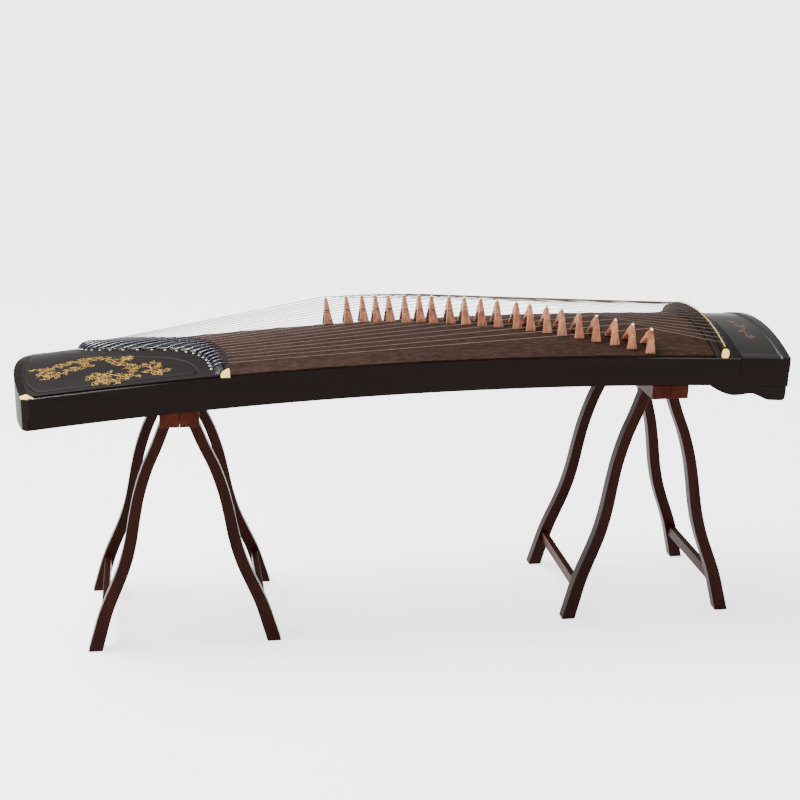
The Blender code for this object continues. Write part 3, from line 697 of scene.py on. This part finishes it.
def make_lid():
    """The arched lid, with a groove and a raised rim at the head. Its top faces are lighter with painted
    sheen and its steep faces have the sides' lacquer; a dark tube in the groove is painted shade.
    """
    groove_start, rim_end = RIM_START - LID_GROOVE, RIM_START + 0.0022
    profile = [(lerp(LID_START, groove_start, step / 24), 0.0) for step in range(25)]
    profile += [(groove_start + LID_GROOVE * step / 8, -0.0022 * math.sin(math.pi * step / 8) ** 2)
                for step in range(1, 9)]
    profile += [(lerp(RIM_START, rim_end, step / 6), RIM_HEIGHT * smooth(step / 6)) for step in range(1, 7)]
    profile += [(lerp(rim_end, HEAD_X, step / 6), RIM_HEIGHT) for step in range(1, 7)]
    steps = len(profile) - 1

    def shell(u, w, top):
        x, lift = profile[round(u * steps)]
        y = w * half_width(x)
        lip = 0.0016 * smooth((abs(w) - 0.925) / 0.02) * (1 - smooth(abs(lift) / RIM_HEIGHT))
        return on_surface(x, y, lift + lip) if top else Vector((x, y, LID_SEAM_Z))

    def hollow(u, w, top):
        x = lerp(LID_START - 0.01, HEAD_X - 0.008, u)
        y = w * (half_width(x) - 0.008)
        return on_surface(x, y, -0.006) if top else Vector((x, y, LID_SEAM_Z - 0.02))

    bm = subtract(board_bmesh(steps, 96, shell), board_bmesh(4, 32, hollow))
    soften(bm, 0.001, 2, 50)
    lid = make_piece("tuning_lid_shell", bm, LID_SHEEN, "lid", replaced=["tuning_lid"], even=True)
    lid.data.materials.append(LACQUER)
    # Upward faces keep the lighter lacquer with painted sheen; steep faces get the darker side lacquer.
    for face in lid.data.polygons:
        face.material_index = int(abs(face.normal.z) < 0.4)
    # A dark tube along the groove's bottom: painted shade in the groove.
    x = RIM_START - 0.0028
    reach = half_width(x) - 0.001
    line = [on_surface(x, lerp(-reach, reach, step / 80), -0.0012) for step in range(81)]
    make_tube("lid_groove", line, 0.0011, 8, SHADOW, "lid")


def make_head_foot():
    """The scalloped apron under the head: two side walls and an end wall."""
    low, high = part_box("head_foot")
    end = high.x
    shape = spline([(low.x, 0.5545), (0.664, 0.544), (0.6885, 0.535), (0.712, 0.5345), (0.7355, 0.537),
                    (0.755, 0.53), (0.7725, 0.522), (0.79, 0.52), (end - 0.0045, 0.52), (end, 0.53)], 5)
    steps = len(shape) - 1

    def apron(u, w, top):
        x, z = shape[round(u * steps)]
        return Vector((x, w * half_width(x), underside(x) - GAP if top else z))

    reach = HEAD_WIDTH / 2 - FOOT_THICKNESS
    bm = subtract(board_bmesh(steps, 1, apron),
                  box_bmesh((low.x - 0.05, -reach, 0.45), (end - FOOT_THICKNESS, reach, 0.65)))
    soften(bm, 0.0012, 2, 50)
    make_piece("head_foot_shell", bm, LACQUER, replaced=["head_foot"], even=True)


def make_corner_inlays():
    """Bone wedges let into the top corners of the tail."""
    half, proud, deep = TAIL_WIDTH / 2, 0.0007, 0.0042
    turn_y = half - CORNER_CHAMFER
    outline = [(tail_end_x(turn_y - 0.003) - proud, turn_y - 0.003),
               (tail_end_x(turn_y) - proud, turn_y + proud / 2),
               (tail_end_x(half) - proud / 2, half + proud), (tail_end_x(half) + 0.0015, half + proud),
               (tail_end_x(turn_y) + 0.0105, turn_y - 0.0085)]

    def place(a, b, depth):
        return Vector((a, side * b, surface(a, min(b, half)) + proud - depth))

    for name, side in (("near_tail_corner", -1), ("far_tail_corner", 1)):
        bm = flat_cut(outline, deep, place)
        soften(bm, 0.0005, 2)
        make_piece(name, bm, BONE)


# ---- gold painting

def stroke(bm, points, width, lift=0.00035):
    """A brush stroke on the body's surface: thick in the middle, thin at its ends."""
    count = len(points)
    rings = []
    for index, (a, b) in enumerate(points):
        ahead = points[min(index + 1, count - 1)]
        behind = points[max(index - 1, 0)]
        dx, dy = ahead[0] - behind[0], ahead[1] - behind[1]
        size = math.hypot(dx, dy) or 1.0
        t = index / (count - 1)
        half = width * (0.12 + 0.88 * math.sin(math.pi * min(1.0, 0.08 + 0.92 * t)) ** 0.7) / 2
        nx, ny = -dy / size * half, dx / size * half
        corners = ((a + nx, b + ny, -0.00012), (a, b, lift), (a - nx, b - ny, -0.00012), (a, b, -0.0004))
        rings.append([bm.verts.new(on_surface(*corner)) for corner in corners])
    skin(bm, rings)


def curl(cx, cy, size, turn, hand, turns=1.15, count=22):
    """An opening spiral."""
    points = []
    for step in range(count):
        t = step / (count - 1)
        radius = size * (0.1 + 0.9 * t)
        angle = turn + hand * math.tau * turns * t
        points.append((cx + radius * math.cos(angle), cy + radius * math.sin(angle)))
    return points


def leaf(cx, cy, size, turn, bend, count=8):
    points = []
    for step in range(count):
        t = step / (count - 1)
        angle = turn + bend * t
        points.append((cx + size * t * math.cos(angle), cy + size * t * math.sin(angle)))
    return points


def blossom(bm, cx, cy, size, turn, width):
    """Five petals round a small curl."""
    for petal in range(5):
        angle = turn + math.tau * petal / 5
        ring = []
        for step in range(9):
            swing = math.tau * step / 8
            outwards = size * (0.62 + 0.38 * math.cos(swing))
            sideways = size * 0.3 * math.sin(swing)
            ring.append((cx + outwards * math.cos(angle) - sideways * math.sin(angle),
                         cy + outwards * math.sin(angle) + sideways * math.cos(angle)))
        stroke(bm, ring, width)
    stroke(bm, curl(cx, cy, size * 0.16, turn, 1, 1.0, 10), width)


TAIL_STEMS = (
    ((-0.778, -0.034), (-0.757, -0.05), (-0.735, -0.042), (-0.712, -0.034), (-0.688, -0.02),
     (-0.664, -0.018), (-0.64, -0.022), (-0.62, -0.034), (-0.606, -0.058), (-0.588, -0.078),
     (-0.562, -0.086), (-0.536, -0.084), (-0.51, -0.08)),
    ((-0.764, -0.062), (-0.746, -0.086), (-0.724, -0.08), (-0.702, -0.066), (-0.68, -0.056),
     (-0.652, -0.05)),
    ((-0.668, -0.112), (-0.648, -0.108), (-0.626, -0.104), (-0.604, -0.118), (-0.584, -0.126),
     (-0.562, -0.122)),
    ((-0.656, -0.134), (-0.636, -0.13), (-0.616, -0.136), (-0.594, -0.138)),
    ((-0.6, -0.046), (-0.586, -0.036), (-0.572, -0.046)),
    ((-0.546, -0.108), (-0.53, -0.116), (-0.516, -0.124), (-0.504, -0.106)),
)
TAIL_BLOSSOMS = ((-0.741, -0.066, 0.012), (-0.632, -0.118, 0.013), (-0.586, -0.04, 0.01),
                 (-0.574, -0.104, 0.012), (-0.524, -0.098, 0.01), (-0.676, -0.036, 0.01))


def make_tail_painting():
    """Scrolls and leaves along waving stems, with blossoms between them."""
    chance = random.Random(21)
    bm = bmesh.new()
    for stem in TAIL_STEMS:
        path = spline(stem, 8)
        stroke(bm, path, 0.0026)
        for index in range(2, len(path) - 2, 3):
            x, y = path[index]
            heading = math.atan2(path[index + 1][1] - y, path[index + 1][0] - x)
            hand = 1 if (index // 3) % 2 else -1
            size = chance.uniform(0.005, 0.0088)
            reach = size * chance.uniform(0.6, 1.0)
            cx = x + reach * math.cos(heading + hand * 1.4)
            cy = y + reach * math.sin(heading + hand * 1.4)
            stroke(bm, curl(cx, cy, size, heading - hand * 1.7, hand), chance.uniform(0.0014, 0.0021))
            for _ in range(2):
                angle = heading + hand * chance.uniform(0.4, 2.3)
                base = (x + reach * 0.6 * math.cos(angle), y + reach * 0.6 * math.sin(angle))
                length = chance.uniform(0.008, 0.015)
                stroke(bm, leaf(*base, length, angle, hand * 0.7), chance.uniform(0.0016, 0.0027))
    for cx, cy, size in TAIL_BLOSSOMS:
        blossom(bm, cx, cy, size, chance.uniform(0, 1), 0.0015)
    make_piece("tail_painting", bm, GOLD, sharp=ROUND)


def make_lid_painting():
    """A small blossom spray, worn."""
    chance = random.Random(5)
    bm = bmesh.new()
    stem = spline([(0.757, -0.114), (0.752, -0.09), (0.757, -0.064), (0.75, -0.038), (0.754, -0.012)], 8)
    stroke(bm, stem, 0.0016)
    for index in range(3, len(stem) - 2, 4):
        hand = 1 if (index // 4) % 2 else -1
        stroke(bm, leaf(*stem[index], chance.uniform(0.01, 0.015), 1.57 - hand, hand * 0.5), 0.0019)
    for cx, cy, size in ((0.747, -0.018, 0.0078), (0.763, -0.048, 0.007), (0.746, -0.076, 0.0064),
                         (0.762, -0.102, 0.0066)):
        blossom(bm, cx, cy, size, chance.uniform(0, 1), 0.0012)
    make_piece("lid_painting", bm, DULL_GOLD, "lid", sharp=ROUND)


# ---- strings, bridges and pins

def nearness(string):
    """0 for the farthest string, 1 for the nearest."""
    return string / (STRINGS - 1)


def fan(string):
    return 1 - 2 * nearness(string)


def hole_place(string):
    y = HOLE_MIDDLE_Y + HOLE_REACH * fan(string)
    return hole_line_x(y), y


def lane_y(string, x):
    """How far across a string runs at x, on its straight way from its hole to the front nut."""
    hole_x, hole_y = hole_place(string)
    return lerp(hole_y, FRONT_REACH * fan(string), (x - hole_x) / (NUT_CREST - hole_x))


def bridge_name(string):
    return f"bridge_{string + 1:02d}"


def bridge_body(string):
    return f"string_bridge_{string + 1:02d}"


def bridge_height(string):
    return BRIDGE_HEIGHT - BRIDGE_DROP * nearness(string) ** 2


def bridge_matrix(string):
    """Stands a bridge on the board, under its string and square to the surface."""
    low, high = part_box(bridge_name(string))
    x = (low.x + high.x) / 2
    rise = lerp(RISE_TAIL, RISE_HEAD, along(x))
    radius = (half_width(x) ** 2 + rise ** 2) / (2 * rise)
    foot_y = lane_y(string, x) * radius / (radius + bridge_height(string))
    tilt = math.asin(foot_y / radius)
    pitch = math.atan(slope(lambda at: surface(at, foot_y), x, 0.01))
    place = Matrix.Translation(on_surface(x, foot_y))
    return place @ Matrix.Rotation(-pitch, 4, "Y") @ Matrix.Rotation(-tilt, 4, "X")


def bridge_tip(string):
    return bridge_matrix(string) @ Vector((0, 0, bridge_height(string) + BRIDGE_FLAT))


def pin_place(string):
    """A pin's place in plan, and the height of the pin block's top there."""
    x = PIN_ROWS[string % len(PIN_ROWS)]
    return x, PIN_SPREAD * fan(string), underside(x) + PIN_BLOCK_THICKNESS


def string_radius(string):
    return lerp(STRING_THICKEST, STRING_THINNEST, nearness(string))


BRIDGE_OUTLINE = [(0.003, 0.0565), (0.0052, 0.052), (0.0085, 0.0455), (0.0122, 0.0385), (0.0158, 0.0325),
                  (0.0166, 0.0305), (0.015, 0.0288), (0.016, 0.024), (0.0182, 0.017), (0.0207, 0.0095),
                  (0.0224, 0.0035), (0.0228, 0.0), (0.0168, 0.0), (0.0148, 0.006), (0.0128, 0.0115),
                  (0.0104, 0.017), (0.0074, 0.022), (0.004, 0.0262)]


def make_bridge(string):
    """Two splayed legs under a gable, thick at the feet and thin at the tip, with a pale saddle."""
    top = bridge_height(string) + BRIDGE_FLAT
    scale = bridge_height(string) / BRIDGE_HEIGHT
    matrix, body = bridge_matrix(string), bridge_body(string)
    outline = BRIDGE_OUTLINE + [(0.0, 0.0292)] + [(-y, z) for y, z in reversed(BRIDGE_OUTLINE)]
    arch_radius = (HEAD_WIDTH / 2) ** 2 / (2 * FOOT_ARCH)

    def wood(a, b, depth):
        t = b / BRIDGE_HEIGHT
        waist = 0.0015 * math.exp(-((t - 0.5) / 0.1) ** 2)
        thickness = lerp(BRIDGE_DEPTH, BRIDGE_TOP_DEPTH, t ** 0.92) - waist
        sag = a ** 2 / (2 * arch_radius) * (1 - t)
        return Vector(((depth - 0.5) * thickness, a, b * scale - sag + BRIDGE_FLAT))

    def saddle(a, b, depth):
        return Vector((a * 1.04, depth - SADDLE_LENGTH / 2, b + top))

    bm = flat_cut(outline, 1.0, wood)
    soften(bm, 0.0009, 2, 32)
    bmesh.ops.transform(bm, matrix=matrix, verts=bm.verts)
    make_piece(f"{body}_wood", bm, BRIDGE, body, [bridge_name(string)], 42, True)
    half = BRIDGE_TOP_DEPTH / 2
    crown = [(-half, -0.0036), (-half, -0.001), (-half * 0.55, -0.0001), (half * 0.55, -0.0001),
             (half, -0.001), (half, -0.0036)]
    bm = flat_cut(crown, SADDLE_LENGTH, saddle)
    soften(bm, 0.0005, 2)
    bmesh.ops.transform(bm, matrix=matrix, verts=bm.verts)
    make_piece(f"{body}_tip", bm, WHITE, body)


def nut_crossing(string):
    x = rear_nut_x(hole_place(string)[1])
    for _ in range(8):
        x = rear_nut_x(lane_y(string, x))
    return x, lane_y(string, x)


def spline_points(points, steps):
    return [Vector(point) for point in spline(points, steps)]


def line_points(a, b, count):
    return [a.lerp(b, step / count) for step in range(count + 1)]


def make_string(string):
    """The two straight lengths of a string, from the rear nut over its bridge to the front nut."""
    radius = string_radius(string)
    crest = on_surface(*nut_crossing(string), REAR_NUT_HEIGHT + radius + 0.0004)
    tip = bridge_tip(string) + Vector((0, 0, radius))
    front = on_surface(NUT_CREST, FRONT_REACH * fan(string), NUT_HEIGHT + radius + 0.0004)
    name = f"string_{string + 1:02d}"
    tail = make_tube(f"{name}_tail", line_points(crest, tip, 24), radius, 8, STRING, None)
    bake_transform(tail)
    head = make_tube(f"{name}_head", line_points(tip, front, 16), radius, 8, STRING, None)
    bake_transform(head)
    return crest, front


def make_winding(string, crest):
    """The blue winding, from the string's hole over the rear nut."""
    radius = string_radius(string)
    thick = radius + WINDING_THICKNESS
    hole_x, hole_y = hole_place(string)
    slack = WINDING_SLACK * (1 - nearness(string)) ** 1.5
    route = [on_surface(hole_x, hole_y, -0.004), on_surface(hole_x, hole_y, 0.0024)]
    for share in (0.12, 0.25, 0.42, 0.62, 0.82):
        x, y = lerp(hole_x, crest.x, share), lerp(hole_y, crest.y, share)
        lift = bed_rise(x, y) + thick * smooth(share / 0.12) + slack * math.sin(math.pi * share ** 0.7)
        route.append(on_surface(x, y, lift))
    ahead = (bridge_tip(string) - crest).normalized() * lerp(0.03, 0.016, nearness(string))
    path = spline_points(route + [crest + Vector((0, 0, 0.0006)), crest + ahead], 5)
    taper = len(path) - 4
    radii = [lerp(thick, radius, max(0, index - taper) / 4) for index in range(len(path))]
    make_tube(f"string_{string + 1:02d}_winding", path, radii, 10, BLUE, "guzheng")


def make_string_end(bm, string, front):
    """Adds the string's way from the front nut through the slot to its tuning pin."""
    radius = string_radius(string)
    pin_x, pin_y, base = pin_place(string)
    above = on_surface(SLOT_X - 0.0006, front.y, NUT_HEIGHT - 0.0002)
    below = on_surface(SLOT_X, front.y, -0.012)
    at_pin = Vector((pin_x - PIN_RADIUS - radius, pin_y, base + COIL_HEIGHT))
    path = spline_points([front - Vector((0.001, 0, 0)), above, below], 6)
    sweep(bm, path + line_points(below, at_pin, 3)[1:], radius, 8)


def make_pin(string):
    """A tuning pin with a square head, and the string's turns on it."""
    body = f"pin_{string + 1:02d}"
    node = f"tuning_pin_{string + 1:02d}"
    low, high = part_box(node)
    x, y, base = pin_place(string)
    half, neck = PIN_HEAD_HALF, high.z - PIN_HEAD_HEIGHT
    bm = bmesh.new()
    turned(bm, [(0.0022, low.z), (PIN_RADIUS, low.z + 0.0015), (PIN_RADIUS, neck - 0.0012), (half, neck)],
           Vector((x, y, 0.0)), 20)
    make_piece(f"{node}_shaft", bm, STEEL, body, [node], 50)
    bm = box_bmesh((x - half, y - half, neck - 0.0003), (x + half, y + half, high.z))
    for vert in bm.verts:
        if vert.co.z > neck + 0.002:
            vert.co.x = lerp(x, vert.co.x, 0.86)
            vert.co.y = lerp(y, vert.co.y, 0.86)
    soften(bm, 0.0004, 2)
    make_piece(f"{node}_head", bm, STEEL, body)
    radius = string_radius(string)
    wrap = PIN_RADIUS + radius
    turns, count = 3.4, 60
    path = []
    for step in range(count + 1):
        angle = math.pi + math.tau * turns * step / count
        height = base + COIL_HEIGHT - (2 * radius + 0.0001) * turns * step / count
        path.append(Vector((x + wrap * math.cos(angle), y + wrap * math.sin(angle), height)))
    make_tube(f"{node}_coil", path, radius, 8, STRING, body)


def make_eyelets():
    """A pale eyelet for each string hole, with a dark disc in its middle as painted shade."""
    rims, dark = bmesh.new(), bmesh.new()
    for string in range(STRINGS):
        x, y = hole_place(string)
        normal = Vector((-slope(lambda at: surface(at, y), x), -slope(lambda at: surface(x, at), y), 1.0))
        normal.normalize()
        turned(rims, EYELET_PROFILE, on_surface(x, y), 16, normal)
        # The dark disc is painted shade inside the hole.
        turned(dark, [(0.0013, 0.0005), (0.0013, 0.00095)], on_surface(x, y), 12, normal)
    make_piece("string_hole_eyelets", rims, WHITE, sharp=60)
    make_piece("string_hole_shadows", dark, SHADOW, sharp=60)


def make_strings():
    """Every string with its bridge, winding and pin. Their ends in the tuning box are one piece."""
    ends = bmesh.new()
    for string in range(STRINGS):
        make_bridge(string)
        crest, front = make_string(string)
        make_winding(string, crest)
        make_string_end(ends, string, front)
        make_pin(string)
    make_piece("string_ends_in_tuning_box", ends, STRING, "guzheng", ["string_set"], ROUND)


# ---- trestles

def leg_outline(top_z, foot):
    """The wavy leg's outline, up one side and down the other."""
    outer, inner = [], []
    for height, share in spline(LEG_PATH, 8):
        half = lerp(LEG_WIDTH_FOOT, LEG_WIDTH_TOP, min(1.0, height * 1.6)) / 2
        outer.append((share * foot + half, height * top_z))
        inner.append((share * foot - half, height * top_z))
    return outer + inner[::-1]


def leg_offset(foot, rail_bottom, z):
    """How far out the middle of a leg stands at a height."""
    share = z / (rail_bottom + LEG_TOP)
    for (h0, s0), (h1, s1) in zip(LEG_PATH, LEG_PATH[1:]):
        if h0 <= share <= h1:
            return lerp(s0, s1, (share - h0) / (h1 - h0)) * foot


def make_trestle(title, y0, half, foot):
    """Two halves, each with half of the rail, two legs and a stretcher, and the hinge between them."""
    x0 = (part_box(f"{title}_left_frame")[1].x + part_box(f"{title}_right_frame")[0].x) / 2
    rail_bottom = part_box(f"{title}_hinge")[1].z + GAP

    def rail(u, w, top):
        x = x0 + side * lerp(GAP / 2, RAIL_WIDTH, u)
        return Vector((x, half * w, underside(x) - GAP if top else rail_bottom))

    def leg(a, b, depth):
        return Vector((x0 + side * a, start + depth + lean * b, b))

    legs = (("near", LEG_LEAN, y0 - LEG_SPREAD_Y / 2), ("far", -LEG_LEAN, y0 + LEG_SPREAD_Y / 2 - LEG_DEPTH))
    for label, side, body in (("left", -1, title), ("right", 1, f"{title}_folding_half")):
        node = f"{title}_{label}_frame"
        bm = board_bmesh(3, 1, rail)
        soften(bm, 0.0018, 3)
        make_piece(f"{node}_rail", bm, RAIL, body, [node], even=True)
        for end, lean, start in legs:
            bm = flat_cut(leg_outline(rail_bottom + LEG_TOP, foot), LEG_DEPTH, leg)
            soften(bm, 0.0024, 3, 50)
            make_piece(f"{node}_{end}_leg", bm, TRESTLE, body, even=True)
        middle = Vector((x0 + side * leg_offset(foot, rail_bottom, STRETCHER_Z), y0, STRETCHER_Z))
        reach = Vector((STRETCHER_THICKNESS / 2, LEG_SPREAD_Y / 2 - LEG_DEPTH * 0.8, STRETCHER_HEIGHT / 2))
        bm = box_bmesh(middle - reach, middle + reach)
        soften(bm, 0.0022, 3)
        make_piece(f"{node}_stretcher", bm, RAIL, body, even=True)
    make_hinge(title, x0, y0, rail_bottom)


def make_hinge(title, x0, y0, rail_bottom):
    """A long butt hinge: knuckles by turns on the two halves, two leaves and their screws."""
    start = y0 - HINGE_LENGTH / 2
    knuckles, screws = 10, 5
    pitch = HINGE_LENGTH / knuckles
    profile = [(0.0022, 0.0002), (0.003, 0.0006), (0.003, pitch - 0.0006), (0.0022, pitch - 0.0002)]
    for label, body, side, first in (("left", title, -1, 0), ("right", f"{title}_folding_half", 1, 1)):
        name = f"{title}_{label}_hinge"
        bm = bmesh.new()
        for index in range(first, knuckles, 2):
            centre = Vector((x0, start + index * pitch, rail_bottom - HINGE_DROP))
            turned(bm, profile, centre, 16, Vector((0, 1, 0)))
        make_piece(f"{name}_knuckles", bm, BRASS, body, [f"{title}_hinge"] if side < 0 else (), 40)
        near, far = sorted((x0 + side * LEAF_START, x0 + side * LEAF_END))
        bm = box_bmesh((near, start, rail_bottom - LEAF_THICKNESS),
                       (far, start + HINGE_LENGTH, rail_bottom - 0.0001))
        soften(bm, 0.0004, 2)
        make_piece(f"{name}_leaf", bm, BRASS, body)
        bm = bmesh.new()
        for index in range(screws):
            y = start + HINGE_LENGTH * (index + 0.5) / screws
            turned(bm, [(0.0026, -0.0002), (0.0026, 0.0003), (0.0016, 0.0007)],
                   Vector((x0 + side * SCREW_OFFSET, y, rail_bottom - LEAF_THICKNESS)), 14,
                   Vector((0, 0, -1)))
        make_piece(f"{name}_screws", bm, STEEL, body, sharp=50)


# ---- carried-over nodes, camera and stage

CAMERA_LENS = 62.87
CAMERA_PLACE = (-0.5151, -2.8804, 1.4501)
CAMERA_TURN = (0.1768, 0.3179, 0.0222)  # yaw, pitch and roll
WORLD_STRENGTH = 0.75
FLOOR_GLOW = 1.9


def dress(node, material):
    """Gives a carried-over CAD node one material."""
    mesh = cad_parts[node].data
    for index in range(len(mesh.materials)):
        mesh.materials[index] = material
    if not mesh.materials:
        mesh.materials.append(material)


def lacquer_outside(node):
    """Puts the lacquer on the node's end face and its underside, which show from outside."""
    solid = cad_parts[node]
    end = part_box(node)[1].x
    solid.data.materials.append(LACQUER)
    lacquer = len(solid.data.materials) - 1
    for face in solid.data.polygons:
        centre = solid.matrix_world @ face.center
        if centre.x > end - 0.001 or face.normal.z < -0.5:
            face.material_index = lacquer


def make_camera():
    """The camera that was fitted to the photo's corners."""
    data = bpy.data.cameras.new("camera")
    data.lens = CAMERA_LENS
    data.sensor_width = 36.0
    data.clip_end = 50.0
    camera = bpy.data.objects.new("camera", data)
    bpy.context.scene.collection.objects.link(camera)
    yaw, pitch, roll = CAMERA_TURN
    forward = Vector((math.sin(yaw) * math.cos(pitch), math.cos(yaw) * math.cos(pitch), -math.sin(pitch)))
    right = Vector((math.cos(yaw), -math.sin(yaw), 0.0))
    up = right.cross(forward)
    across = right * math.cos(roll) + up * math.sin(roll)
    above = up * math.cos(roll) - right * math.sin(roll)
    turn = Matrix((across, above, -forward)).transposed().to_4x4()
    camera.matrix_world = Matrix.Translation(CAMERA_PLACE) @ turn
    bpy.context.scene.camera = camera


def make_light(name, kind, place, direction, energy, **settings):
    data = bpy.data.lights.new(name, kind)
    data.energy = energy
    for key, value in settings.items():
        setattr(data, key, value)
    light = bpy.data.objects.new(name, data)
    bpy.context.scene.collection.objects.link(light)
    turn = Vector(direction).to_track_quat("-Z", "Y").to_matrix().to_4x4()
    light.matrix_world = Matrix.Translation(place) @ turn


def make_stage():
    """The pale floor, a white world and three soft lights."""
    bm = bmesh.new()
    bmesh.ops.create_grid(bm, x_segments=1, y_segments=1, size=90.0)
    mesh = bpy.data.meshes.new("floor")
    bm.to_mesh(mesh)
    bm.free()
    shader = Shader("pale_floor", Roughness=0.9, Specular_IOR_Level=0.1, Emission_Strength=FLOOR_GLOW,
                    Emission_Color=(1.0, 1.0, 1.0, 1.0))
    cloud = shader.noise(shader.coordinates(), 2.0)
    shader.set(Base_Color=shader.ramp(cloud, [(0.3, (0.9, 0.9, 0.9)), (0.7, (0.92, 0.92, 0.92))]))
    mesh.materials.append(shader.material)
    floor = bpy.data.objects.new("floor", mesh)
    bpy.context.scene.collection.objects.link(floor)
    floor.location.z = CAD_LOW[2] - 0.0005
    world = bpy.data.worlds.new("studio")
    world.use_nodes = True
    background = world.node_tree.nodes["Background"]
    background.inputs["Color"].default_value = (1.0, 1.0, 1.0, 1.0)
    background.inputs["Strength"].default_value = WORLD_STRENGTH
    bpy.context.scene.world = world
    make_light("soft_sun", "SUN", (0, 0, 0), (0.42, -0.3, -1.0), 5.0, angle=math.radians(40.0))
    make_light("left_panel", "AREA", (-3.2, -0.9, 1.5), (3.2, 0.9, -1.0), 60.0, shape="RECTANGLE",
               size=1.6, size_y=1.8, color=(1.0, 0.9, 0.86))
    make_light("string_panel", "AREA", (-1.5, 0.0, 2.46), (0.9, 0.0, -1.78), 55.0, shape="RECTANGLE",
               size=0.5, size_y=0.5)


make_camera()
make_stage()
make_soundboard()
make_sides()
dress("bottom_board", LACQUER)
dress("head_box", PALE)
lacquer_outside("head_box")
make_tail_block()
make_tail_board()
make_rear_nut()
make_string_bed()
make_front_nut()
make_lid()
make_head_foot()
make_corner_inlays()
make_tail_painting()
make_lid_painting()
make_eyelets()
make_strings()
for title, measures in TRESTLES.items():
    make_trestle(title, *measures)
